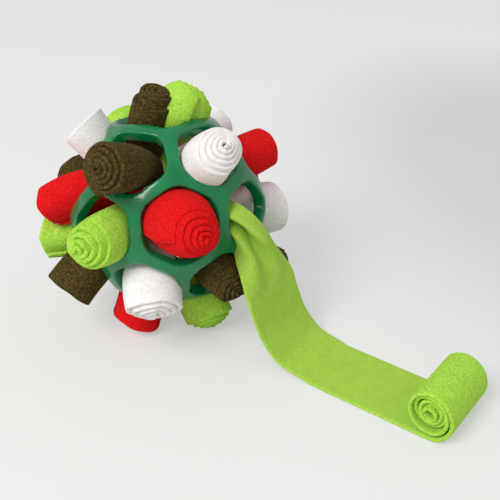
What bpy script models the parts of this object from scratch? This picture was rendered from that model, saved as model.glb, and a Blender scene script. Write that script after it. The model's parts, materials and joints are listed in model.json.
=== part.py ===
"""Snuffle puzzle ball: a rubber lattice ball, moulded in two halves, whose holes hold wound fleece strips.

Every strip is bound at the middle of the ball, runs out through a hole and is wound up from
its free end, so a pet has to pull the roll out and open it. One strip is drawn out of its
hole, runs down to the floor and ends in a loose roll. Metres, +Z up, floor at z = 0.
"""
import math

import bmesh
import bpy
from mathutils import Matrix, Vector

MM = 0.001

# Lattice ball
BALL_RADIUS = 75 * MM
REST_HEIGHT = 17 * MM
BALL_HEIGHT = BALL_RADIUS + REST_HEIGHT
WALL = 9 * MM
RIB_WIDTH = 10 * MM
CORNER_ROUND = 9 * MM
LIP = 1.3 * MM
JUNCTION_POLAR = (28, 54, 77)
POLE_LONGITUDE = 13
POLE_LATITUDE = 14
PENTAGON_POLAR = 42.5

# Fleece strips
FLEECE = 2 * MM
STRIP_WIDTH = 55 * MM
ROLL_FILL_SHARE = 0.267
ROLL_RADIUS = BALL_RADIUS * ROLL_FILL_SHARE
ROLL_BORE = 1.6 * MM
ROLL_TURNS = 3.5
ROLL_STEPS = 7
BELLY_SHARE = 0.68
NECK_RADIUS = 3.4 * MM
FLOOR_CUT = 0.5 * MM
SEAT_GAP = 0.3 * MM

# Binding at the middle
CORE_RADIUS = 17.4 * MM
TIE_WIDTH = 5 * MM
TIE_THICKNESS = 1.4 * MM
CORE_SIDES = 24
CORE_RINGS = 6

# Drawn-out strip
STRIP_FOLDS = 6
EXIT_WIDTH = 20 * MM
EXIT_FOLD = 3.6 * MM
CORE_END_WIDTH = 7 * MM
CORE_END_FOLD = 1.2 * MM
LAY_HEADING = -36
LAY_LENGTH = 92 * MM
END_ROLL_RADIUS = 19 * MM
END_ROLL_PITCH = 4.3 * MM
END_ROLL_TURNS = 3.5
END_ROLL_STEPS = 9
END_ROLL_RECESS = 5 * MM

# Points nearer than this are one point
MERGE = 0.01 * MM

COLOURS = {
    "green": (0.006, 0.24, 0.065, 1),
    "lime": (0.28, 0.6, 0.035, 1),
    "red": (0.75, 0.015, 0.018, 1),
    "white": (0.86, 0.83, 0.82, 1),
    "brown": (0.045, 0.03, 0.013, 1),
    "nylon": (0.62, 0.62, 0.6, 1),
}

# Each roll: its hole, its colour, where its root sits in the hole and which way it leans, both
# in degrees east and north of the hole's own axis. Then four shares: how far out its root is,
# of the ball's radius, and its radii at the root, belly and tip, of the fullest roll's radius.
ROLL_PLACES_AND_SHARES = {
    "roll_front_red": ("A", "red", (-9, 10), (17, -7), 0.57, 0.68, 1.04, 0.86),
    "roll_upper_left_brown": ("P5", "brown", (3, 10), (-16, -28), 0.67, 0.68, 0.89, 0.88),
    "roll_upper_right_white": ("P0", "white", (5, 4.5), (-8, -9), 0.59, 0.68, 1.04, 0.9),
    "roll_lower_right_brown": ("P2", "brown", (-0.5, -5.5), (7, 0), 0.44, 0.58, 0.93, 0.8),
    "roll_lower_left_white": ("P3", "white", (-6.5, -3.5), (13, -3), 0.55, 0.68, 0.98, 0.85),
    "roll_left_lime": ("P4", "lime", (-2.5, -1.5), (0, -7), 0.57, 0.68, 1.04, 0.9),
    "roll_top_brown": ("H0", "brown", (19.5, -2), (-11, 31), 0.6, 0.68, 0.88, 0.78),
    "roll_top_lime": ("H0", "lime", (-7, -9), (-30, 35), 0.67, 0.42, 0.85, 0.85),
    "roll_far_right_red": ("H1", "red", (1.5, 1), (20, -19), 0.6, 0.68, 0.95, 0.9),
    "roll_far_right_white": ("H2", "white", (8, 5), (23, 18), 0.68, 0.46, 0.93, 0.88),
    "roll_far_right_brown": ("H2", "brown", (-22.5, -5.5), (5, 8), 0.61, 0.68, 0.9, 0.85),
    "roll_bottom_red": ("H3", "red", (-17, 14), (-9, -8), 0.57, 0.42, 0.9, 0.9),
    "roll_bottom_lime": ("H3", "lime", (16, 15), (8, -3), 0.57, 0.42, 0.9, 0.88),
    "roll_low_left_brown": ("H4", "brown", (13, -0.5), (3, -1), 0.6, 0.6, 0.95, 0.92),
    "roll_far_left_lime": ("H4", "lime", (-9, 10), (-14, 19), 0.59, 0.42, 0.73, 0.73),
    "roll_far_left_red": ("H5", "red", (11.5, 0), (0, -36), 0.64, 0.52, 0.9, 0.88),
    "roll_far_left_white": ("H5", "white", (-11, 8), (13, 28), 0.6, 0.46, 0.8, 0.8),
    "roll_back_left_lime": ("Q5", "lime", (2.5, 5), (-9, 10), 0.59, 0.68, 0.8, 0.8),
    "roll_back_right_white": ("Q0", "white", (3, 1), (-24, 3), 0.64, 0.58, 0.92, 0.86),
    "roll_back_right_brown": ("Q1", "brown", (-2, 0), (-12, 6), 0.6, 0.68, 0.92, 0.86),
    "roll_back_low_red": ("Q2", "red", (0, -0.5), (0, 1), 0.62, 0.68, 1, 0.92),
    "roll_back_low_white": ("Q3", "white", (-1, 0), (0, 0), 0.62, 0.68, 1, 0.92),
    "roll_back_left_brown": ("Q4", "brown", (3.5, -4), (6, 29), 0.7, 0.56, 0.8, 0.8),
    "roll_back_centre_lime": ("Z", "lime", (0, 0), (0, 0), 0.57, 0.6, 0.98, 0.88),
}

# The rolls that the ball stands on are slid in or out until they meet the floor.
STANDING_ROLLS = ("roll_bottom_red", "roll_bottom_lime", "roll_back_low_red", "roll_back_low_white")

# Route of the drawn-out strip from the binding to the floor. Each row has its place across and
# towards the front, as shares of the ball's radius, and its height, as a share of the height of
# the ball's middle. Then come three shares of 1: how far its side direction has turned from
# upright to level, how far it has opened out, and how far it has grown from the bound end.
STRIP_ROUTE_SHARES = (
    (0.18, -0.153, 1.043, 0, 0, 0),
    (0.427, -0.36, 1.109, 0, 0, 0.5),
    (0.667, -0.547, 1.163, 0, 0, 1),
    (0.84, -0.627, 1.141, 0.25, 0.2, 1),
    (0.973, -0.68, 1.033, 0.6, 0.6, 1),
    (1.04, -0.72, 0.87, 0.9, 0.9, 1),
    (1.08, -0.76, 0.674, 1, 1, 1),
    (1.133, -0.8, 0.478, 1, 1, 1),
    (1.213, -0.853, 0.283, 1, 1, 1),
    (1.347, -0.947, 0.109, 1, 1, 1),
    (1.52, -1.08, 0.027, 1, 1, 1),
)


def start_clean():
    """Empty the scene and open the two collections."""
    for item in list(bpy.data.objects):
        bpy.data.objects.remove(item)
    parts = bpy.data.collections.new("snuffle_puzzle_ball")
    cutters = bpy.data.collections.new("cutters")
    bpy.context.scene.collection.children.link(parts)
    bpy.context.scene.collection.children.link(cutters)
    return parts, cutters


def finish_material(name, roughness):
    """The plain material of one colour, made once."""
    material = bpy.data.materials.get(name)
    if material is None:
        material = bpy.data.materials.new(name)
        material.use_nodes = True
        shader = material.node_tree.nodes["Principled BSDF"]
        shader.inputs["Base Color"].default_value = COLOURS[name]
        shader.inputs["Roughness"].default_value = roughness
        shader.inputs["Metallic"].default_value = 0
    return material


def add_node(bm, name, collection, colour, roughness, smooth_angle=40):
    """Turn a bmesh into a named object with its material and smooth shading."""
    bmesh.ops.recalc_face_normals(bm, faces=bm.faces)
    mesh = bpy.data.meshes.new(name)
    bm.to_mesh(mesh)
    bm.free()
    mesh.shade_smooth()
    mesh.set_sharp_from_angle(angle=math.radians(smooth_angle))
    mesh.materials.append(finish_material(colour, roughness))
    node = bpy.data.objects.new(name, mesh)
    collection.objects.link(node)
    return node


def heading(longitude, latitude):
    """Unit vector: longitude turns from the front (-Y) towards +X, latitude rises from level."""
    lon, lat = math.radians(longitude), math.radians(latitude)
    return Vector((math.sin(lon) * math.cos(lat), -math.cos(lon) * math.cos(lat), math.sin(lat)))


def east_north(normal):
    """The level direction and the rising direction at right angles to a normal."""
    east = Vector((0, 0, 1)).cross(normal).normalized()
    return east, normal.cross(east)


def lattice_axes():
    """Matrix whose third column is the axis through the front hexagonal hole."""
    normal = heading(POLE_LONGITUDE, POLE_LATITUDE)
    east, north = east_north(normal)
    return Matrix((east, north, normal)).transposed()


def on_ball(polar, azimuth):
    """Unit vector at a polar angle from the front hole's axis and an azimuth round it."""
    th, ph = math.radians(polar), math.radians(azimuth)
    return lattice_axes() @ Vector((math.sin(th) * math.sin(ph), math.sin(th) * math.cos(ph), math.cos(th)))


def hole_axes():
    """The axis of each of the 20 holes: two poles, twelve pentagons, six equatorial hexagons."""
    axes = {"A": on_ball(0, 0), "Z": on_ball(180, 0)}
    for k in range(6):
        axes[f"P{k}"] = on_ball(PENTAGON_POLAR, 60 * k + 30)
        axes[f"Q{k}"] = on_ball(180 - PENTAGON_POLAR, 60 * k + 30)
        axes[f"H{k}"] = on_ball(90, 60 * k)
    return axes


def lattice_cage():
    """The 36 junctions and 20 openings of the lattice as one closed polyhedron."""
    bm = bmesh.new()
    near, middle, far = JUNCTION_POLAR
    rows = ((near, 0), (middle, 0), (far, 30), (180 - far, 30), (180 - middle, 0), (180 - near, 0))
    junctions = [[bm.verts.new(on_ball(polar, 60 * k + turn) * BALL_RADIUS) for k in range(6)]
                 for polar, turn in rows]
    a, b, c, d, e, f = junctions
    bm.faces.new(a)
    bm.faces.new(f)
    for k in range(6):
        n = (k + 1) % 6
        bm.faces.new((a[k], a[n], b[n], c[k], b[k]))
        bm.faces.new((f[k], f[n], e[n], d[k], e[k]))
        bm.faces.new((b[k], c[k], d[k], e[k], d[k - 1], c[k - 1]))
    bmesh.ops.recalc_face_normals(bm, faces=bm.faces)
    return bm


def make_lattice(parts):
    """Round and cut out every opening of the net, part it at the middle, give each half a wall."""
    net = lattice_cage()
    openings = list(net.faces)
    centre_lines = list(net.edges)
    bmesh.ops.inset_individual(net, faces=openings, thickness=RIB_WIDTH / 2, use_even_offset=True)
    bmesh.ops.dissolve_edges(net, edges=centre_lines)
    corners = {v for face in openings for v in face.verts}
    bmesh.ops.bevel(net, geom=list(corners), offset=CORNER_ROUND, segments=2, profile=0.5,
                    affect="VERTICES")
    biggest = sorted(net.faces, key=lambda face: face.calc_area())[-len(openings):]
    bmesh.ops.delete(net, geom=biggest, context="FACES")
    for v in net.verts:
        v.co = v.co.normalized() * BALL_RADIUS
    axis = lattice_axes().col[2]
    for name, way in (("lattice_front_half", axis), ("lattice_back_half", -axis)):
        bm = net.copy()
        bmesh.ops.bisect_plane(bm, geom=[*bm.verts, *bm.edges, *bm.faces], clear_inner=True,
                               plane_co=way * SEAT_GAP / 2, plane_no=way)
        skin = list(bm.faces)
        inside = bmesh.ops.extrude_face_region(bm, geom=skin, use_keep_orig=True)["geom"]
        for item in inside:
            if isinstance(item, bmesh.types.BMVert):
                item.co *= (BALL_RADIUS - WALL) / BALL_RADIUS
        half = add_node(bm, name, parts, "green", 0.28)
        half.location = (0, 0, BALL_HEIGHT)
        lip = half.modifiers.new("lip", "BEVEL")
        lip.width = LIP
        lip.segments = 1
        lip.limit_method = "ANGLE"
        lip.angle_limit = math.radians(50)
    net.free()


def least_gap(one_side, other_side, steps):
    """Least distance, on points, between the two sides of a strip, half a turn or more apart."""
    finer = 6
    lines = []
    for side in (one_side, other_side):
        spans = zip(side, side[1:])
        lines.append([a.lerp(b, i / finer) for a, b in spans for i in range(finer)])
    apart = steps * finer // 2
    return min((a - b).length for i, a in enumerate(lines[0]) for j, b in enumerate(lines[1])
               if abs(i - j) >= apart)


def wound_band(root_radius, belly_radius, tip_radius):
    """A strip wound on +Z, root at z = 0, the floor of its last turn doubled for the neck."""
    bm = bmesh.new()
    pitch = (tip_radius - ROLL_BORE - FLEECE) / ROLL_TURNS
    inner = []
    for i in range(round(ROLL_TURNS * ROLL_STEPS) + 1):
        angle = math.tau * i / ROLL_STEPS
        radius = ROLL_BORE + pitch * i / ROLL_STEPS
        inner.append(bm.verts.new((radius * math.cos(angle), radius * math.sin(angle), 0)))
    line = [bm.edges.new(pair) for pair in zip(inner, inner[1:])]
    band = bmesh.ops.extrude_edge_only(bm, edges=line)["geom"]
    grown = {item for item in band if isinstance(item, bmesh.types.BMVert)}
    for v in grown:
        v.co += v.co.normalized() * FLEECE
    outer = [next(edge.other_vert(v) for edge in v.link_edges if edge.other_vert(v) in grown)
             for v in inner]
    floor_faces = list(bm.faces)
    level = floor_faces
    for rise in (STRIP_WIDTH * BELLY_SHARE, STRIP_WIDTH * (1 - BELLY_SHARE)):
        top = bmesh.ops.extrude_face_region(bm, geom=level, use_keep_orig=level is floor_faces)["geom"]
        top_verts = [item for item in top if isinstance(item, bmesh.types.BMVert)]
        bmesh.ops.translate(bm, verts=top_verts, vec=(0, 0, rise))
        level = top
    floor_faces.sort(key=lambda face: face.calc_center_median().length)
    last_turn = floor_faces[1 - ROLL_STEPS:]
    neck = bmesh.ops.extrude_face_region(bm, geom=last_turn, use_keep_orig=True)["geom"]
    neck_verts = [item for item in neck if isinstance(item, bmesh.types.BMVert)]
    bmesh.ops.delete(bm, geom=last_turn, context="FACES")
    for v in bm.verts:
        share = v.co.z / STRIP_WIDTH
        below = min(share / BELLY_SHARE, 1)
        above = max(share - BELLY_SHARE, 0) / (1 - BELLY_SHARE)
        radius = root_radius + (belly_radius - root_radius) * below + (tip_radius - belly_radius) * above
        v.co.xy *= radius / tip_radius
    gap = least_gap([v.co.copy() for v in inner], [v.co.copy() for v in outer], ROLL_STEPS)
    return bm, neck_verts, gap


def seat_on_core(verts, middle):
    """Lay points on the bundle of bound strips, clear of it by the seat gap."""
    for v in verts:
        v.co = middle + (v.co - middle).normalized() * (CORE_RADIUS + SEAT_GAP)


def roll_frame(name):
    """Root place and turn of one roll: its +Z is its axis, out of the ball."""
    hole, _, shift, lean, out_share, *_ = ROLL_PLACES_AND_SHARES[name]
    normal = hole_axes()[hole]
    east, north = east_north(normal)

    def tilted(pair):
        turn = [math.tan(math.radians(angle)) for angle in pair]
        return (normal + turn[0] * east + turn[1] * north).normalized()

    start = Vector((0, 0, BALL_HEIGHT)) + tilted(shift) * BALL_RADIUS * out_share
    return start, tilted(lean).to_track_quat("Z", "Y").to_matrix()


def make_rolls(parts, cutters):
    """One wound strip for each entry of the table, those under the ball cut flat at the floor."""
    bpy.ops.mesh.primitive_cube_add(size=1, location=(0, 0, -BALL_RADIUS / 2))
    floor = bpy.context.object
    floor.name = "floor_cutter"
    floor.dimensions = (4 * BALL_RADIUS, 4 * BALL_RADIUS, BALL_RADIUS)
    floor.hide_render = True
    floor.display_type = "WIRE"
    for group in list(floor.users_collection):
        group.objects.unlink(floor)
    cutters.objects.link(floor)
    gaps = []
    for name, (_, colour, _, _, _, *radius_shares) in ROLL_PLACES_AND_SHARES.items():
        radii = [ROLL_RADIUS * share for share in radius_shares]
        bm, neck_verts, gap = wound_band(*radii)
        gaps.append(gap)
        start, turn = roll_frame(name)
        if name in STANDING_ROLLS:
            lowest = min((start + turn @ v.co).z for v in bm.verts)
            start -= turn.col[2] * (lowest + FLOOR_CUT) / turn.col[2].z
        core = turn.transposed() @ (Vector((0, 0, BALL_HEIGHT)) - start)
        seat = core - core.normalized() * CORE_RADIUS
        for v in neck_verts:
            v.co = seat + v.co * NECK_RADIUS / radii[0]
        seat_on_core(neck_verts, core)
        node = add_node(bm, name, parts, colour, 0.9)
        node.matrix_world = Matrix.Translation(start) @ turn.to_4x4()
        if name in STANDING_ROLLS:
            cut = node.modifiers.new("floor_cut", "BOOLEAN")
            cut.operation = "DIFFERENCE"
            cut.object = floor
    print(f"least gap of a wound roll to itself {min(gaps) / MM:.2f} mm")


def smooth_route(points, per_span):
    """Catmull-Rom curve through the points, with per_span steps between each pair."""
    line = [points[0] * 2 - points[1], *points, points[-1] * 2 - points[-2]]
    out = []
    for p0, p1, p2, p3 in zip(line, line[1:], line[2:], line[3:]):
        for i in range(per_span):
            t = i / per_span
            out.append(0.5 * ((2 * p1) + (p2 - p0) * t + (2 * p0 - 5 * p1 + 4 * p2 - p3) * t ** 2
                              + (3 * p1 - p0 - 3 * p2 + p3) * t ** 3))
    return out + [points[-1]]


def strip_sections():
    """Centre, side direction, width and fold depth of each section of the drawn-out strip."""
    along = heading(90 + LAY_HEADING, 0)
    across = Vector((0, 0, 1)).cross(along)
    places = [Vector((x * BALL_RADIUS, y * BALL_RADIUS, z * BALL_HEIGHT))
              for x, y, z, _, _, _ in STRIP_ROUTE_SHARES]
    steps = 2
    hanging = smooth_route(places, steps)

    def share(column, index):
        low = min(index // steps, len(places) - 2)
        part = index / steps - low
        return STRIP_ROUTE_SHARES[low][column] * (1 - part) + STRIP_ROUTE_SHARES[low + 1][column] * part

    sections = []
    for i, place in enumerate(hanging):
        turn, open_share, exit_share = share(3, i), share(4, i), share(5, i)
        side = (Vector((0, 0, 1)) * (1 - turn) + across * turn).normalized()
        width = CORE_END_WIDTH + (EXIT_WIDTH - CORE_END_WIDTH) * exit_share
        fold = CORE_END_FOLD + (EXIT_FOLD - CORE_END_FOLD) * exit_share
        width += (STRIP_WIDTH - EXIT_WIDTH) * open_share
        fold *= 1 - open_share
        sections.append((place, side, width, fold))
    flat_z = FLEECE / 2
    last = Vector((hanging[-1].x, hanging[-1].y, flat_z))
    for share_out in (0.12, 0.4, 0.7, 1):
        place = last + along * LAY_LENGTH * share_out
        sections.append((place, across, STRIP_WIDTH, 0))
    centre = last + along * LAY_LENGTH + Vector((0, 0, END_ROLL_RADIUS))
    count = round(END_ROLL_TURNS * END_ROLL_STEPS)
    for i in range(1, count + 1):
        angle = math.tau * i / END_ROLL_STEPS
        radius = END_ROLL_RADIUS - END_ROLL_PITCH * i / END_ROLL_STEPS
        recess = END_ROLL_RECESS * min(1, i / END_ROLL_STEPS / 2)
        place = centre + radius * (along * math.sin(angle) - Vector((0, 0, 1)) * math.cos(angle))
        sections.append((place + across * recess, across, STRIP_WIDTH, 0))
    return sections


def make_loose_strip(parts):
    """One unbroken strip lofted along its route, gathered at the ball and wound at its end."""
    sections = strip_sections()
    bm = bmesh.new()
    rings = []
    for i, (place, side, width, fold) in enumerate(sections):
        before = sections[max(i - 1, 0)][0]
        after = sections[min(i + 1, len(sections) - 1)][0]
        direction = (after - before).normalized()
        side = (side - direction * side.dot(direction)).normalized()
        normal = side.cross(direction).normalized()
        upper, lower = [], []
        for k in range(STRIP_FOLDS + 1):
            offset = side * width * (k / STRIP_FOLDS - 0.5) + normal * fold * (-1) ** k
            upper.append(bm.verts.new(place + offset + normal * FLEECE / 2))
            lower.append(bm.verts.new(place + offset - normal * FLEECE / 2))
        rings.append(upper + lower[::-1])
    seat_on_core(rings[0], Vector((0, 0, BALL_HEIGHT)))
    wound = rings[-round(END_ROLL_TURNS * END_ROLL_STEPS):]
    sides = [[ring[k].co.copy() for ring in wound] for k in (0, -1)]
    print(f"least gap of the end roll to itself {least_gap(*sides, END_ROLL_STEPS) / MM:.2f} mm")
    for v in bm.verts:
        v.co.z = max(v.co.z, 0)
    for ring, following in zip(rings, rings[1:]):
        for k in range(len(ring)):
            n = (k + 1) % len(ring)
            bm.faces.new((ring[k], ring[n], following[n], following[k]))
    half = STRIP_FOLDS + 1
    for ring in (rings[0], rings[-1]):
        for k in range(STRIP_FOLDS):
            bm.faces.new((ring[k], ring[k + 1], ring[2 * half - 2 - k], ring[2 * half - 1 - k]))
    return add_node(bm, "loose_strip", parts, "lime", 0.9)


def make_core(parts):
    """The strips' gathered middles, grooved for the tie, and the nylon tie itself."""
    centre = Vector((0, 0, BALL_HEIGHT))
    groove = TIE_THICKNESS + SEAT_GAP
    half_groove = TIE_WIDTH / 2 + SEAT_GAP
    rim = math.asin(half_groove / CORE_RADIUS)
    bm = bmesh.new()
    profile = []
    for i in range(CORE_RINGS + 1):
        lat = math.pi / 2 - (math.pi / 2 - rim) * i / CORE_RINGS
        profile.append((CORE_RADIUS * math.cos(lat), CORE_RADIUS * math.sin(lat)))
    profile.append((CORE_RADIUS - groove, half_groove))
    profile += [(x, -z) for x, z in reversed(profile)]
    verts = [bm.verts.new((x, 0, z)) for x, z in profile]
    edges = [bm.edges.new(pair) for pair in zip(verts, verts[1:])]
    bmesh.ops.spin(bm, geom=verts + edges, cent=(0, 0, 0), axis=(0, 0, 1), angle=math.tau,
                   steps=CORE_SIDES, use_merge=True)
    bmesh.ops.remove_doubles(bm, verts=bm.verts, dist=MERGE)
    core = add_node(bm, "core_knot", parts, "red", 0.9)
    core.location = centre

    bm = bmesh.new()
    outer, inner, half = CORE_RADIUS, CORE_RADIUS - TIE_THICKNESS, TIE_WIDTH / 2
    section = ((inner, -half), (outer, -half), (outer, half), (inner, half))
    ring = [bm.verts.new((x, 0, z)) for x, z in section]
    loop = [bm.edges.new((ring[k], ring[(k + 1) % 4])) for k in range(4)]
    bmesh.ops.spin(bm, geom=ring + loop, cent=(0, 0, 0), axis=(0, 0, 1), angle=math.tau,
                   steps=CORE_SIDES, use_merge=True)
    bmesh.ops.remove_doubles(bm, verts=bm.verts, dist=MERGE)
    tie = add_node(bm, "core_tie", parts, "nylon", 0.4)
    tie.location = centre
    for node in (core, tie):
        node.rotation_euler = lattice_axes().to_euler()
    return core, tie


def stand_on_origin(parts):
    """Move the whole object so that the middle of its box's base is the origin."""
    bpy.context.view_layer.update()
    graph = bpy.context.evaluated_depsgraph_get()
    points = []
    for node in parts.objects:
        shown = node.evaluated_get(graph)
        points += [shown.matrix_world @ v.co for v in shown.data.vertices]
    middle = [(min(p[k] for p in points) + max(p[k] for p in points)) / 2 for k in range(2)]
    for node in bpy.data.objects:
        node.location.x -= middle[0]
        node.location.y -= middle[1]
    print(f"ball axis at x {-middle[0] / MM:.2f} mm, y {-middle[1] / MM:.2f} mm")


def main():
    parts, cutters = start_clean()
    make_lattice(parts)
    make_core(parts)
    make_rolls(parts, cutters)
    make_loose_strip(parts)
    stand_on_origin(parts)


main()
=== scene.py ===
# Snuffle puzzle ball: a green rubber lattice ball whose holes hold wound strips of fleece.
# All strips are bound together in its middle. One is drawn out of its hole, runs down to
# the floor and ends there in a loose roll.
import json
import math

import bmesh
import bpy
from mathutils import Matrix, Vector


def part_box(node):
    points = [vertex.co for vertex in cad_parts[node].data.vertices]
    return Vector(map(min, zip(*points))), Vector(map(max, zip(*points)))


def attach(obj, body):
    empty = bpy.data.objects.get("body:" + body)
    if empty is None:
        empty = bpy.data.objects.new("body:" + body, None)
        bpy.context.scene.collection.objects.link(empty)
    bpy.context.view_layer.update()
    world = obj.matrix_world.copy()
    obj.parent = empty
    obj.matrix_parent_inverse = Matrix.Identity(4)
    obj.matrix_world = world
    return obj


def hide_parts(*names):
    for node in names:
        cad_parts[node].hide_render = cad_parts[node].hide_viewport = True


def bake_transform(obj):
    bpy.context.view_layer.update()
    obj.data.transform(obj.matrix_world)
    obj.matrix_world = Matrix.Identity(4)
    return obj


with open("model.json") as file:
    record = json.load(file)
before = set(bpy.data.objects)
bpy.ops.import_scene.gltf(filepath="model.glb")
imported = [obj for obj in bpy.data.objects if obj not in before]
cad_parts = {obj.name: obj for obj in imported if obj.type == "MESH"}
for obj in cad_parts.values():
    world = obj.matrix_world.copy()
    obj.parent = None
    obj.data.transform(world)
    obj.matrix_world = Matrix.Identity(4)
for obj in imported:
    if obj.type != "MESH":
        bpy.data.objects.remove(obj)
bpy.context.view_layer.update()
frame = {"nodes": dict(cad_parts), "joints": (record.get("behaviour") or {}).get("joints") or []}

# Camera
# A short telephoto lens, 0.6 m from the ball and looking 30 degrees down on it.
tie_low, tie_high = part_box("core_tie")
ball_middle = (tie_low + tie_high) / 2
camera_data = bpy.data.cameras.new("camera")
camera_data.lens = 57.6
camera_data.sensor_width = 36
camera = bpy.data.objects.new("camera", camera_data)
camera.location = ball_middle + Vector((0.0626, -0.5472, 0.2766))
camera.rotation_euler = (math.radians(60), 0, 0)
bpy.context.scene.collection.objects.link(camera)
bpy.context.scene.camera = camera


# Floor and light
# The toy lies on a plain pale sheet. One broad soft lamp stands at the upper left, and light
# from all round fills the shadows.
def linear(colour):
    """Scene-linear RGBA of an sRGB hex colour."""
    shares = [int(colour[i:i + 2], 16) / 255 for i in (1, 3, 5)]
    return (*[s / 12.92 if s <= 0.04045 else ((s + 0.055) / 1.055) ** 2.4 for s in shares], 1)


def add_node(tree, kind, values=None, links=None, **settings):
    """Add a shader node with its settings and values, and link outputs to its inputs."""
    node = tree.nodes.new(kind)
    for name, value in settings.items():
        setattr(node, name, value)
    for name, value in (values or {}).items():
        node.inputs[name].default_value = value
    for name, output in (links or {}).items():
        tree.links.new(output, node.inputs[name])
    return node


def open_material(name):
    """A new material, its node tree and its surface shader."""
    material = bpy.data.materials.new(name)
    material.use_nodes = True
    return material, material.node_tree, material.node_tree.nodes["Principled BSDF"]


paper, tree, shader = open_material("matt white paper")
shader.inputs["Base Color"].default_value = linear("#DEDEDC")
shader.inputs["Roughness"].default_value = 0.9
shader.inputs["Specular IOR Level"].default_value = 0.1
# The camera sees the sheet as bright as a lit studio sweep, with the toy's shadow still on it,
# and with a broad painted shadow where the sweep dims towards a spot right of and behind the ball
seen = add_node(tree, "ShaderNodeLightPath")
place = add_node(tree, "ShaderNodeTexCoord")
# Painted shadow: the sweep's brightness falls to 0.62 in an oval round a spot to the right of and behind the
# ball
painted_shadow_oval = add_node(tree, "ShaderNodeMapping", {"Scale": (1, 0.6, 1)}, {"Vector": place.outputs["Object"]})
side = add_node(tree, "ShaderNodeVectorMath", {1: (0.32, 0.19, 0)}, {0: painted_shadow_oval.outputs["Vector"]},
                operation="DISTANCE")
painted_shadow_fade = add_node(tree, "ShaderNodeMapRange", {"From Min": 0.12, "From Max": 0.32, "To Min": 0.62, "To Max": 1},
                {"Value": side.outputs["Value"]})
sweep_with_painted_shadow = add_node(tree, "ShaderNodeEmission", {"Color": linear("#FAFAF9")},
                 {"Strength": painted_shadow_fade.outputs["Result"]})
amount = add_node(tree, "ShaderNodeMath", {1: 0.42}, {0: seen.outputs["Is Camera Ray"]}, operation="MULTIPLY")
lit = add_node(tree, "ShaderNodeMixShader", links={0: amount.outputs["Value"], 1: shader.outputs["BSDF"],
                                                   2: sweep_with_painted_shadow.outputs["Emission"]})
tree.links.new(lit.outputs["Shader"], tree.nodes["Material Output"].inputs["Surface"])
bpy.ops.object.select_all(action="DESELECT")
bpy.ops.mesh.primitive_plane_add(size=8, location=(0, 0, -0.0002))
floor = bpy.context.object
floor.name = "paper_floor"
floor.data.materials.append(paper)

world = bpy.data.worlds.new("soft studio")
bpy.context.scene.world = world
world.use_nodes = True
world.node_tree.nodes["Background"].inputs["Color"].default_value = (1, 1, 1, 1)
world.node_tree.nodes["Background"].inputs["Strength"].default_value = 0.62
lamp_data = bpy.data.lights.new("soft lamp", "AREA")
lamp_data.size = 1.3
lamp_data.energy = 49
lamp = bpy.data.objects.new("soft lamp", lamp_data)
lamp.location = ball_middle + Vector((-1.2, -1.45, 1.95))
lamp.rotation_euler = (ball_middle - lamp.location).to_track_quat("-Z", "Y").to_euler()
bpy.context.scene.collection.objects.link(lamp)
bpy.context.scene.view_settings.view_transform = "Standard"

# Lattice ball
# Natural rubber, moulded in one colour to a glossy net of 20 round-cornered holes. The walls
# are 9 mm thick, and the mould leaves every rim rounded.
ball_radius = 0.075
wall = 0.009
rib_width = 0.010
corner_round = 0.0075
row_polar = (28, 54, 77, 103, 126, 152)


def edit(piece):
    """Open a piece in edit mode with nothing selected."""
    bpy.ops.object.select_all(action="DESELECT")
    piece.select_set(True)
    bpy.context.view_layer.objects.active = piece
    bpy.ops.object.mode_set(mode="EDIT")
    bpy.ops.mesh.select_mode(type="VERT")
    bpy.ops.mesh.select_all(action="DESELECT")
    return bmesh.from_edit_mesh(piece.data)


def apply_modifiers(piece):
    """Apply all modifiers of a piece in their order."""
    bpy.ops.object.select_all(action="DESELECT")
    piece.select_set(True)
    bpy.context.view_layer.objects.active = piece
    for name in [modifier.name for modifier in piece.modifiers]:
        bpy.ops.object.modifier_apply(modifier=name)


bpy.ops.object.select_all(action="DESELECT")
bpy.ops.mesh.primitive_uv_sphere_add(segments=6, ring_count=4, radius=ball_radius)
lattice = bpy.context.object
lattice.name = "rubber_lattice"
bm = edit(lattice)
for v in bm.verts:
    v.select = 0.1 * ball_radius < abs(v.co.z) < 0.9 * ball_radius
bpy.ops.transform.rotate(value=math.radians(30), orient_axis="Z", center_override=(0, 0, 0))
bpy.ops.mesh.select_all(action="SELECT")
bpy.ops.mesh.quads_convert_to_tris(quad_method="SHORTEST_DIAGONAL", ngon_method="BEAUTY")
# Each triangle becomes a junction of three ribs, and each corner an opening
hole_count = 20
bpy.ops.mesh.poke()
bpy.ops.mesh.select_mode(type="EDGE")
bpy.ops.mesh.select_all(action="DESELECT")
bm = bmesh.from_edit_mesh(lattice.data)
bm.verts.index_update()
for e in bm.edges:
    e.select = all(v.index < hole_count for v in e.verts)
bpy.ops.mesh.edge_rotate()
bpy.ops.mesh.select_mode(type="VERT")
bpy.ops.mesh.select_all(action="DESELECT")
bm = bmesh.from_edit_mesh(lattice.data)
bm.verts.index_update()
for v in bm.verts:
    v.select = v.index < hole_count
bpy.ops.mesh.dissolve_verts()
bm = bmesh.from_edit_mesh(lattice.data)
for n, v in enumerate(sorted(bm.verts, key=lambda v: -v.co.z)):
    polar = math.radians(row_polar[n // 6])
    level = Vector((v.co.x, v.co.y, 0)).normalized() * math.sin(polar)
    v.co = (level + Vector((0, 0, math.cos(polar)))) * ball_radius
junctions = [v.co.copy() for v in bm.verts]
bpy.ops.mesh.select_mode(type="FACE")
bpy.ops.mesh.select_all(action="SELECT")
bpy.ops.mesh.inset(thickness=rib_width / 2, use_individual=True, use_even_offset=True)
bm = bmesh.from_edit_mesh(lattice.data)
hole_corners = [v.co.copy() for f in bm.faces if f.select for v in f.verts]
bpy.ops.mesh.select_mode(type="EDGE")
bpy.ops.mesh.select_all(action="DESELECT")


def at_any(v, places):
    """Whether a vertex lies at one of the places."""
    return any((v.co - place).length < 1e-5 for place in places)


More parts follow.
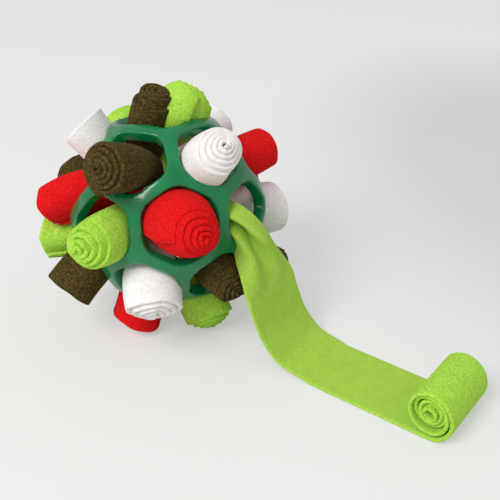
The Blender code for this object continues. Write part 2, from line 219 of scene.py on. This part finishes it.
bm = bmesh.from_edit_mesh(lattice.data)
for e in bm.edges:
    e.select = all(at_any(v, junctions) for v in e.verts)
bpy.ops.mesh.dissolve_edges(use_verts=False)
bpy.ops.mesh.select_mode(type="VERT")
bpy.ops.mesh.select_all(action="DESELECT")
bm = bmesh.from_edit_mesh(lattice.data)
for v in bm.verts:
    v.select = at_any(v, hole_corners)
bpy.ops.mesh.bevel(offset=corner_round, segments=6, profile=0.5, affect="VERTICES")
bpy.ops.mesh.select_mode(type="FACE")
bpy.ops.mesh.select_all(action="DESELECT")
bm = bmesh.from_edit_mesh(lattice.data)
for f in sorted(bm.faces, key=lambda f: f.calc_area())[-hole_count:]:
    f.select = True
bpy.ops.mesh.delete(type="FACE")
bpy.ops.mesh.select_all(action="SELECT")
bpy.ops.mesh.quads_convert_to_tris(quad_method="BEAUTY", ngon_method="BEAUTY")
bpy.ops.mesh.subdivide(number_cuts=2)
bm = bmesh.from_edit_mesh(lattice.data)
for v in bm.verts:
    v.co = v.co.normalized() * ball_radius
bpy.ops.object.mode_set(mode="OBJECT")
# The front hole's axis turns 13 degrees to the right and rises 14 degrees
pole_longitude, pole_latitude = math.radians(13), math.radians(14)
pole = Vector((math.sin(pole_longitude) * math.cos(pole_latitude),
               -math.cos(pole_longitude) * math.cos(pole_latitude), math.sin(pole_latitude)))
pole_east = Vector((0, 0, 1)).cross(pole).normalized()
lattice_turn = Matrix((pole_east, pole.cross(pole_east), pole)).transposed()
lattice.data.transform(Matrix.Translation(ball_middle) @ lattice_turn.to_4x4())
solidify = lattice.modifiers.new("wall", "SOLIDIFY")
solidify.thickness = wall
solidify.offset = -1
remesh = lattice.modifiers.new("mould skin", "REMESH")
remesh.mode = "VOXEL"
remesh.voxel_size = 0.00102
remesh.use_smooth_shade = True
smooth = lattice.modifiers.new("rounded rims", "SMOOTH")
smooth.factor = 0.5
smooth.iterations = 8
apply_modifiers(lattice)
lattice.data.shade_smooth()

rubber, tree, shader = open_material("moulded natural rubber")
place = add_node(tree, "ShaderNodeTexCoord")
cloud = add_node(tree, "ShaderNodeTexNoise", {"Scale": 45, "Detail": 2}, {"Vector": place.outputs["Object"]})
tone = add_node(tree, "ShaderNodeValToRGB", links={"Fac": cloud.outputs["Fac"]})
tone.color_ramp.elements[0].position = 0.35
tone.color_ramp.elements[0].color = linear("#006A39")
tone.color_ramp.elements[1].position = 0.65
tone.color_ramp.elements[1].color = linear("#007C44")
# The mould's fine grain, 0.5 mm, drawn as shallow as polished rubber shows it
grain = add_node(tree, "ShaderNodeTexNoise", {"Scale": 2000, "Detail": 2},
                 {"Vector": place.outputs["Object"]})
waves = add_node(tree, "ShaderNodeTexNoise", {"Scale": 220, "Detail": 1}, {"Vector": place.outputs["Object"]})
ripple = add_node(tree, "ShaderNodeBump", {"Strength": 0.25, "Distance": 0.0004},
                  {"Height": waves.outputs["Fac"]})
skin = add_node(tree, "ShaderNodeBump", {"Strength": 0.06, "Distance": 0.0002},
                {"Height": grain.outputs["Fac"], "Normal": ripple.outputs["Normal"]})
# Painted highlight: the sharpest edges, the rims, are painted a lighter green for the light catching them
rim_pointiness = add_node(tree, "ShaderNodeNewGeometry")
rim = add_node(tree, "ShaderNodeMapRange", {"From Min": 0.53, "From Max": 0.6, "To Max": 0.55},
               {"Value": rim_pointiness.outputs["Pointiness"]})
rim_highlight_paint = add_node(tree, "ShaderNodeMix", {7: linear("#5DB58A")},
                 {0: rim.outputs["Result"], 6: tone.outputs["Color"]}, data_type="RGBA")
tree.links.new(rim_highlight_paint.outputs[2], shader.inputs["Base Color"])
tree.links.new(skin.outputs["Normal"], shader.inputs["Normal"])
shader.inputs["Roughness"].default_value = 0.17
shader.inputs["Specular IOR Level"].default_value = 0.32
shader.inputs["Coat Weight"].default_value = 0.45
shader.inputs["Coat Roughness"].default_value = 0.08
lattice.data.materials.clear()
lattice.data.materials.append(rubber)
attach(lattice, "ball")
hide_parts("lattice_front_half", "lattice_back_half")


# Fleece
# Brushed polyester knit. Its pile clumps into soft tufts 1 to 2 mm across, with a matt and
# slightly downy edge. The colour follows the tufts' height, with painted shade between the tufts
# and painted light on their tips.
def fleece(name, painted_shade_between_tufts, body, painted_light_tip, tuft=0.0016, relief=0.7, fleck=None):
    """The fleece of one colour: its painted shade between tufts, the colour of its pile and its tufts' tips
    with painted light.
    """
    material, tree, shader = open_material(name)
    place = add_node(tree, "ShaderNodeTexCoord")
    tufts = add_node(tree, "ShaderNodeTexNoise", {"Scale": 1 / tuft, "Detail": 3, "Roughness": 0.6},
                     {"Vector": place.outputs["Object"]})
    # Painted shade and light: the tuft noise that raises the pile also makes it darker low between the tufts
    # and lighter on their tips
    tone = add_node(tree, "ShaderNodeValToRGB", links={"Fac": tufts.outputs["Fac"]})
    ramp = tone.color_ramp.elements
    ramp[0].position, ramp[0].color = 0.26, linear(painted_shade_between_tufts)
    ramp[1].position, ramp[1].color = 0.76, linear(painted_light_tip)
    middle = ramp.new(0.5)
    middle.color = linear(body)
    colour = tone.outputs["Color"]
    if fleck:
        patches = add_node(tree, "ShaderNodeTexNoise", {"Scale": 480, "Detail": 2},
                           {"Vector": place.outputs["Object"]})
        some = add_node(tree, "ShaderNodeMapRange", {"From Min": 0.54, "From Max": 0.66, "To Max": 0.6},
                        {"Value": patches.outputs["Fac"]})
        mixed = add_node(tree, "ShaderNodeMix", {7: linear(fleck)}, {0: some.outputs["Result"], 6: colour},
                         data_type="RGBA")
        colour = mixed.outputs[2]
    # Broad unevenness, 8 mm, where the pile lies brushed one way or the other
    broad = add_node(tree, "ShaderNodeTexNoise", {"Scale": 125, "Detail": 1},
                     {"Vector": place.outputs["Object"]})
    level = add_node(tree, "ShaderNodeMapRange", {"To Min": 0.9, "To Max": 1.08},
                     {"Value": broad.outputs["Fac"]})
    shade = add_node(tree, "ShaderNodeHueSaturation",
                     links={"Value": level.outputs["Result"], "Color": colour})
    tree.links.new(shade.outputs["Color"], shader.inputs["Base Color"])
    fibres = add_node(tree, "ShaderNodeTexNoise", {"Scale": 3200, "Detail": 2},
                      {"Vector": place.outputs["Object"]})
    down = add_node(tree, "ShaderNodeBump", {"Strength": 0.35, "Distance": 0.0003},
                    {"Height": fibres.outputs["Fac"]})
    pile = add_node(tree, "ShaderNodeBump", {"Strength": relief, "Distance": 0.001},
                    {"Height": tufts.outputs["Fac"], "Normal": down.outputs["Normal"]})
    tree.links.new(pile.outputs["Normal"], shader.inputs["Normal"])
    shader.inputs["Roughness"].default_value = 0.95
    shader.inputs["Specular IOR Level"].default_value = 0.15
    shader.inputs["Sheen Weight"].default_value = 0.2
    shader.inputs["Sheen Roughness"].default_value = 0.45
    shader.inputs["Sheen Tint"].default_value = linear(painted_light_tip)
    return material


fleeces = {
    "lime": fleece("lime polyester fleece", "#86BC2C", "#A7D747", "#C4EA6A", relief=0.9),
    "red": fleece("red polyester fleece", "#C20508", "#D80F13", "#EA2420"),
    "white": fleece("white polyester fleece", "#E0DBD9", "#EFEBEA", "#F8F6F5", relief=0.45),
    "brown": fleece("brown polyester fleece", "#1F1806", "#463B16", "#6E6136", tuft=0.0018, relief=1,
                    fleck="#54351F"),
}


# Wound rolls
# A strip of fleece 55 mm wide is wound up tightly and pushed end-on into a hole, so that its
# spiral end shows. It swells in its hole, each turn 3 to 5 mm thick with its pile, and its
# last turn is gathered inside and runs on to the binding in the middle.
mm = 0.001
strip_width = 0.055
core_radius = 0.0174
neck_radius = 0.0036
bore = 0.0012

# How each roll is wound, and how it sits. Lengths in millimetres, ways in degrees from the
# right of the picture towards its top, and moves and bends to the right, up and away in it.
USUAL_WINDING = {
    "turns": 4.6, "end_angle": 150, "stand": 3, "back": 5, "bundle": 0, "bundle_share": 0.5,
    "tilt": 1.5, "tilt_way": 30, "oval": 0.05, "oval_way": 40, "shift": 1, "shift_way": 90,
    "wave": 0.6, "sink": 0, "move": (0, 0, 0), "bend": (0, 0, 0),
    "more_root": 0, "more_belly": 0, "more_tip": 0,
}
WINDING = {
    "roll_front_red": {"turns": 5.3, "end_angle": 200, "stand": 4, "back": 8, "tilt": 4, "tilt_way": -40,
                       "oval": 0.06, "oval_way": 60, "shift": 5, "shift_way": -60,
                       "more_root": 10, "more_belly": 4, "move": (-2.5, -2.5, 0), "bend": (5, 1, 0)},
    "roll_upper_left_brown": {"turns": 5, "end_angle": 250, "stand": 2, "back": 5, "tilt": 2,
                              "tilt_way": 160, "oval_way": 90, "shift": 2, "shift_way": 180,
                              "more_root": -4, "more_belly": 1, "more_tip": 2.5, "bend": (-2, 0, 0)},
    "roll_upper_right_white": {"turns": 5.2, "end_angle": 300, "stand": 6, "back": 6, "tilt": 1,
                               "tilt_way": 60, "oval": 0.03, "shift_way": 60, "wave": 0.4},
    "roll_lower_right_brown": {"end_angle": 120, "stand": 4, "tilt": 2, "tilt_way": -60,
                               "oval": 0.06, "shift_way": -60, "wave": 0.9, "bend": (4, 0, 0)},
    "roll_lower_left_white": {"turns": 4.4, "end_angle": 230, "stand": 2, "back": 5, "tilt": 1,
                              "tilt_way": -90, "oval": 0.06, "oval_way": 0, "shift_way": -90,
                              "more_root": 2, "more_belly": 3, "more_tip": 4.5, "bend": (1, -2, 8),
                              "sink": 1},
    "roll_left_lime": {"turns": 4.4, "end_angle": 90, "stand": 2, "back": 8, "tilt": 4, "tilt_way": 200,
                       "oval": 0.08, "oval_way": 100, "shift": 5, "shift_way": 215, "wave": 0.7,
                       "more_root": 3, "move": (1, -0.5, 0)},
    "roll_top_brown": {"turns": 4.4, "end_angle": 30, "stand": 0, "back": 1, "bundle": 8,
                       "bundle_share": 0.78, "tilt": 1, "tilt_way": 60, "shift": 1.5, "shift_way": 20,
                       "wave": 0.3, "sink": 6, "bend": (0, 0, 6), "more_tip": 1},
    "roll_top_lime": {"turns": 4, "end_angle": 290, "stand": 4, "back": 2, "tilt": 1, "tilt_way": 0,
                      "wave": 0.1, "move": (-5, -1, -3), "bend": (1, -3, 16), "more_root": 6,
                      "more_belly": 8},
    "roll_far_left_red": {"end_angle": 120, "back": 6, "tilt_way": 180, "shift_way": 180,
                          "sink": 5, "bend": (0, -9, 4), "more_root": 4, "more_belly": 2},
    "roll_far_left_white": {"end_angle": 120, "stand": 0, "back": 1, "sink": 7, "move": (0, 3, 0),
                            "bend": (-1, 1, 14), "more_belly": 2, "more_tip": 4, "wave": 0.2},
    "roll_low_left_brown": {"stand": 0, "back": 1, "move": (-4.5, 6, 0), "bend": (6, -6, 1),
                            "more_belly": 2, "more_tip": 3},
    "roll_far_right_red": {"stand": 2, "back": 5, "bend": (0, -1, 4), "sink": 2},
    "roll_far_right_white": {"stand": 0, "back": 2, "move": (-5, 9, 0), "bend": (-3, 3, 0), "sink": 3,
                             "more_root": 3, "more_belly": 5, "more_tip": 5, "wave": 0.2},
    "roll_bottom_red": {"move": (-9, 0, -2), "bend": (-5, 3, 0), "more_belly": 3, "more_tip": 4},
    "roll_bottom_lime": {"turns": 4.4, "end_angle": 240, "stand": 4, "back": 6, "tilt": 2, "tilt_way": 0,
                         "bend": (9, 0, -9), "wave": 0.3, "more_belly": 3, "more_tip": 3},
    "roll_back_left_brown": {"stand": 0, "back": 1, "bend": (0, 7, 0), "sink": 5},
    "roll_back_right_white": {"bend": (6, -2, 0)},
    "roll_back_left_lime": {"more_belly": 1, "more_tip": 1, "sink": 4},
    "roll_far_left_lime": {"more_belly": 3, "more_tip": 3, "back": 2, "bend": (0, 4, 0)},
    "roll_far_right_brown": {"move": (2, -6, 0), "more_tip": -4, "more_belly": -2},
}

turn_steps = 26
body_outs = (0, 0.13, 0.26, 0.39, 0.51, 0.62, 0.72, 0.81, 0.88, 0.935, 0.975, 1)
neck_rows = 7


def band(name, columns, rows):
    """A flat grid with its rows along Y, as a strip cut from the bolt, and its vertices in order."""
    bpy.ops.object.select_all(action="DESELECT")
    bpy.ops.mesh.primitive_grid_add(x_subdivisions=columns - 1, y_subdivisions=rows - 1, size=1)
    piece = bpy.context.object
    piece.name = name
    order = sorted(piece.data.vertices, key=lambda v: (round(v.co.x * 1e4), v.co.y))
    return piece, order


def finish_cloth(piece, thickness, levels, group=None, other_side=0):
    """Give a strip its thickness and its rounded pile edges."""
    solidify = piece.modifiers.new("pile height", "SOLIDIFY")
    solidify.thickness = thickness
    solidify.offset = 0
    solidify.material_offset = other_side
    solidify.material_offset_rim = other_side
    if group:
        solidify.vertex_group = group
    rounding = piece.modifiers.new("soft edges", "SUBSURF")
    rounding.levels = levels
    rounding.render_levels = levels
    apply_modifiers(piece)
    piece.vertex_groups.clear()
    piece.data.shade_smooth()


def on_axis(node, root, axis):
    """Heights along an axis and distances from it of a CAD node's vertices."""
    for v in frame["nodes"][node].data.vertices:
        height = (v.co - root).dot(axis)
        yield height, (v.co - root - axis * height).length


picture_axes = (Vector((1, 0, 0)), Vector((0, 0.5, 0.866)), Vector((0, 0.866, -0.5)))
for joint in frame["joints"]:
    short = joint["name"].removeprefix("pull_")
    name = "roll_" + short
    look = USUAL_WINDING | WINDING.get(name, {})
    root, axis = Vector(joint["pos_m"]), Vector(joint["axis"]).normalized()
    places = list(on_axis(name, root, axis))
    root_radius = max(r for h, r in places if abs(h) < 0.006) + look["more_root"] * mm
    belly_radius = max(r for h, r in places if 0.03 < h < 0.045) + look["more_belly"] * mm
    tip_radius = max(r for h, r in places if h > 0.05) + look["more_tip"] * mm
    move, bend = [sum((way * amount * mm for way, amount in zip(picture_axes, look[kind])), Vector())
                  for kind in ("move", "bend")]
    root += move - axis * look["sink"] * mm
    to_core = ball_middle - root
    seat = to_core - to_core.normalized() * core_radius
    turns = look["turns"]
    columns = round(turns * turn_steps) + 1
    rows = neck_rows + len(body_outs)
    piece, order = band(name.replace("roll", "wound"), columns, rows)
    weights = piece.vertex_groups.new(name="squeeze")
    # The turns press against each other, and only a soft line stays open between them
    fullest = max(belly_radius, tip_radius)
    pitch = fullest / (turns + 0.5)
    phase = sum(ord(letter) for letter in name)
    wave = look["wave"]
    for j in range(rows):
        out = body_outs[j - neck_rows] if j >= neck_rows else 0
        onwards = (axis * strip_width + bend * 2 * out).normalized()
        right = (Vector((1, 0, 0)) - onwards * onwards.x)
        if abs(axis.x) > 0.9:
            right = (Vector((0, 1, 0)) - onwards * onwards.y)
        right.normalize()
        up = onwards.cross(right)
        centre = root + axis * strip_width * out + bend * out ** 2
        swell = math.sin(math.pi / 2 * min(1, out / 0.6)) ** 0.9
        drawn = max(0, out - 0.62) / 0.38
        full = root_radius + (belly_radius - root_radius) * swell - (belly_radius - tip_radius) * drawn ** 1.5
        near_end = out ** 3
        shift_way, tilt_way, oval_way = [math.radians(look[way])
                                         for way in ("shift_way", "tilt_way", "oval_way")]
        for i in range(columns):
            share = i / (columns - 1)
            angle = math.radians(look["end_angle"]) - (1 - share) * math.tau * turns
            radius = bore + (fullest - pitch / 2 - bore) * share
            across = right * math.cos(angle) + up * math.sin(angle)
            v = order[i * rows + j]
            if j >= neck_rows:
                squeeze = full / fullest
                bundle = 1 / (1 + math.exp((share - look["bundle_share"]) * 40))
                height = look["stand"] * (1 - share) ** 1.3 - look["back"] * share ** 3
                height += look["bundle"] * bundle
                height += look["tilt"] * share * math.cos(angle - tilt_way)
                height += wave * math.sin(3 * angle + phase) + 0.5 * wave * math.sin(7 * angle + 2 * phase)
                reach = radius * squeeze * (1 + look["oval"] * share * math.cos(2 * (angle - oval_way)))
                reach += 0.0003 * wave * math.sin(5 * angle + phase) * share
                aside = right * math.cos(shift_way) + up * math.sin(shift_way)
                aside *= mm * look["shift"] * (1 - share) * near_end
                v.co = centre + onwards * (height * mm * near_end) + across * reach + aside
                weights.add([v.index], min(1, squeeze), "REPLACE")
            else:
                inwards = (neck_rows - j) / neck_rows
                eased = inwards ** 0.7
                reach = radius * root_radius / fullest * (1 - eased) + neck_radius * eased
                reach *= 1 + 0.16 * inwards * math.cos(8 * angle + phase)
                v.co = root + seat * inwards + across * reach
                weights.add([v.index], max(0.3, root_radius / fullest * (1 - 0.5 * inwards)), "REPLACE")
    bm = edit(piece)
    bm.verts.ensure_lookup_table()
    inner_turns = {order[i * rows + j].index for i in range(columns - turn_steps) for j in range(neck_rows)}
    for v in bm.verts:
        v.select = v.index in inner_turns
    bpy.ops.mesh.delete(type="VERT")
    bpy.ops.object.mode_set(mode="OBJECT")
    finish_cloth(piece, pitch * 0.95, 1, "squeeze")
    for v in piece.data.vertices:
        v.co.z = max(v.co.z, 0)
    colour = name.rsplit("_", 1)[1]
    piece.data.materials.clear()
    piece.data.materials.append(fleeces[colour])
    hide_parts(name)
    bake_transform(piece)

# Drawn-out strip
# The same fleece in lime, bunched in three ridges where it leaves its hole. It opens out as it
# falls, lies flat on the floor and ends in a loose roll with its inner turns pushed in.
pile_height = 0.0025
bound_width = 0.007
exit_width = 0.020
bound_fold = 0.0012
more_fold = 0.0052
flat_pile_share = 0.86
end_bore = 0.0016
lie_heading = math.radians(-37.3)
# Each row has its place to the right, away and up from the ball's middle, then how far its side
# has turned from upright to level, how far it has opened and how far it has grown. The rows
# from the third on were fitted to the strip's edges in the picture.
fall = ((0.0135, -0.0115, 0.0040, 0, 0, 0), (0.0320, -0.0270, 0.0100, 0, 0, 0.5),
        (0.0455, -0.0426, 0.0132, 0, 0, 1), (0.0557, -0.0487, 0.0083, 0.16, 0.05, 1),
        (0.0646, -0.0520, -0.0037, 0.33, 0.24, 1), (0.0715, -0.0536, -0.0191, 0.92, 0.71, 1),
        (0.0775, -0.0556, -0.0368, 1, 1, 1), (0.0826, -0.0577, -0.0537, 1, 1, 1),
        (0.0891, -0.0608, -0.0698, 1, 1, 1), (0.1007, -0.0665, -0.0836, 1, 1, 1),
        (0.1163, -0.0760, -0.0891, 1, 1, 1))
lie_length = 0.0965
end_radius = 0.0184
end_turns = 4.7
along = Vector((math.cos(lie_heading), math.sin(lie_heading), 0))
across_way = Vector((0, 0, 1)).cross(along)


def between(rows, at):
    """Catmull-Rom point of a table of rows at a fractional row number."""
    low = min(int(at), len(rows) - 2)
    t = at - low
    near = [rows[max(0, min(len(rows) - 1, low + k))] for k in (-1, 0, 1, 2)]
    return [0.5 * (2 * b + (c - a) * t + (2 * a - 5 * b + 4 * c - d) * t ** 2
                   + (3 * b - a - 3 * c + d) * t ** 3) for a, b, c, d in zip(*near)]


stations = []
fall_steps = 5
for n in range((len(fall) - 1) * fall_steps + 1):
    x, y, z, turn, opened, grown = between(fall, n / fall_steps)
    side = (Vector((0, 0, 1)) * (1 - turn) + across_way * turn).normalized()
    stations.append([ball_middle + Vector((x, y, z)), side, opened, grown])
lie_start = stations[-1][0].copy()
lie_start.z = pile_height / 2
lie_steps = 22
for n in range(1, lie_steps + 1):
    share = n / lie_steps
    stations.append([lie_start + along * lie_length * share, across_way, 1, 1])
hub = lie_start + along * lie_length + Vector((0, 0, end_radius - pile_height / 2))
end_steps = 26
for n in range(1, round(end_turns * end_steps) + 1):
    share = n / (end_turns * end_steps)
    angle = math.tau * n / end_steps
    radius = (end_radius - pile_height / 2) * (1 - share) + end_bore * share
    radius *= 1 + 0.045 * math.sin(2 * angle + 0.8) + 0.02 * math.sin(1.37 * angle)
    place = hub + radius * (along * math.sin(angle) - Vector((0, 0, 1)) * math.cos(angle))
    slip = 0.005 * min(1, n / end_steps / 2) + 0.0012 * math.sin(0.63 * angle)
    stations.append([place + across_way * slip, across_way, 1, 1])

strip_rows = 25
piece, order = band("drawn_strip", len(stations), strip_rows)
weights = piece.vertex_groups.new(name="pile")
for i, (place, side, opened, grown) in enumerate(stations):
    before, after = stations[max(i - 1, 0)][0], stations[min(i + 1, len(stations) - 1)][0]
    onwards = (after - before).normalized()
    side = (side - onwards * side.dot(onwards)).normalized()
    normal = side.cross(onwards).normalized()
    width = bound_width + (exit_width - bound_width) * grown
    width += (strip_width - exit_width) * opened
    fold = (bound_fold + more_fold * grown) * max(0, 1 - opened) ** 0.6
    for j in range(strip_rows):
        u = j / (strip_rows - 1) - 0.5
        v = order[i * strip_rows + j]
        pleat = fold * math.cos(math.tau * 2 * (u + 0.5))
        v.co = place + side * width * u + normal * pleat
        in_roll = i > len(stations) - end_turns * end_steps
        weights.add([v.index], 1 if in_roll else flat_pile_share, "REPLACE")
piece.data.update()
# The side shorn closer lies upwards, and the loose roll turns the fuller side out
piece.data.materials.append(fleece("lime polyester fleece, shorn side", "#93BA3C", "#A2CA4B", "#AFD65C",
                                   tuft=0.0012, relief=0.3))
piece.data.materials.append(fleeces["lime"])
finish_cloth(piece, pile_height / flat_pile_share, 1, "pile", 1)
for v in piece.data.vertices:
    v.co.z = max(v.co.z, 0)
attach(piece, "ball")
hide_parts("loose_strip")

# Core knot
# The middles of all the strips, gathered and bound into a lumpy bundle. Only its dark folds
# show through the holes.
knot_radius = 0.0172
bpy.ops.object.select_all(action="DESELECT")
bpy.ops.mesh.primitive_uv_sphere_add(segments=72, ring_count=36, radius=knot_radius)
knot = bpy.context.object
knot.name = "gathered_knot"
for v in knot.data.vertices:
    level = v.co.z / knot_radius
    angle = math.atan2(v.co.y, v.co.x)
    waist = math.exp(-(level / 0.16) ** 2)
    pleat = 0.9 + 0.06 * math.cos(13 * angle + 2 * level) * (1 - abs(level))
    pleat += 0.04 * math.sin(5 * angle + 3 * level)
    v.co *= pleat * (1 - 0.13 * waist)
knot.data.transform(Matrix.Translation(ball_middle) @ lattice_turn.to_4x4())
knot.data.shade_smooth()
knot.data.materials.append(fleeces["red"])
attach(knot, "ball")
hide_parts("core_knot")

# Core tie
# A nylon cable tie pulled tight round the bundle, its natural milky plastic slightly glossy.
tie_nylon, tree, shader = open_material("natural nylon")
place = add_node(tree, "ShaderNodeTexCoord")
milk = add_node(tree, "ShaderNodeTexNoise", {"Scale": 300, "Detail": 2}, {"Vector": place.outputs["Object"]})
tone = add_node(tree, "ShaderNodeValToRGB", links={"Fac": milk.outputs["Fac"]})
tone.color_ramp.elements[0].color = linear("#D6D4CA")
tone.color_ramp.elements[1].color = linear("#E6E4DC")
tree.links.new(tone.outputs["Color"], shader.inputs["Base Color"])
shader.inputs["Roughness"].default_value = 0.35
shader.inputs["Subsurface Weight"].default_value = 0.1
for slot in frame["nodes"]["core_tie"].material_slots:
    slot.material = tie_nylon
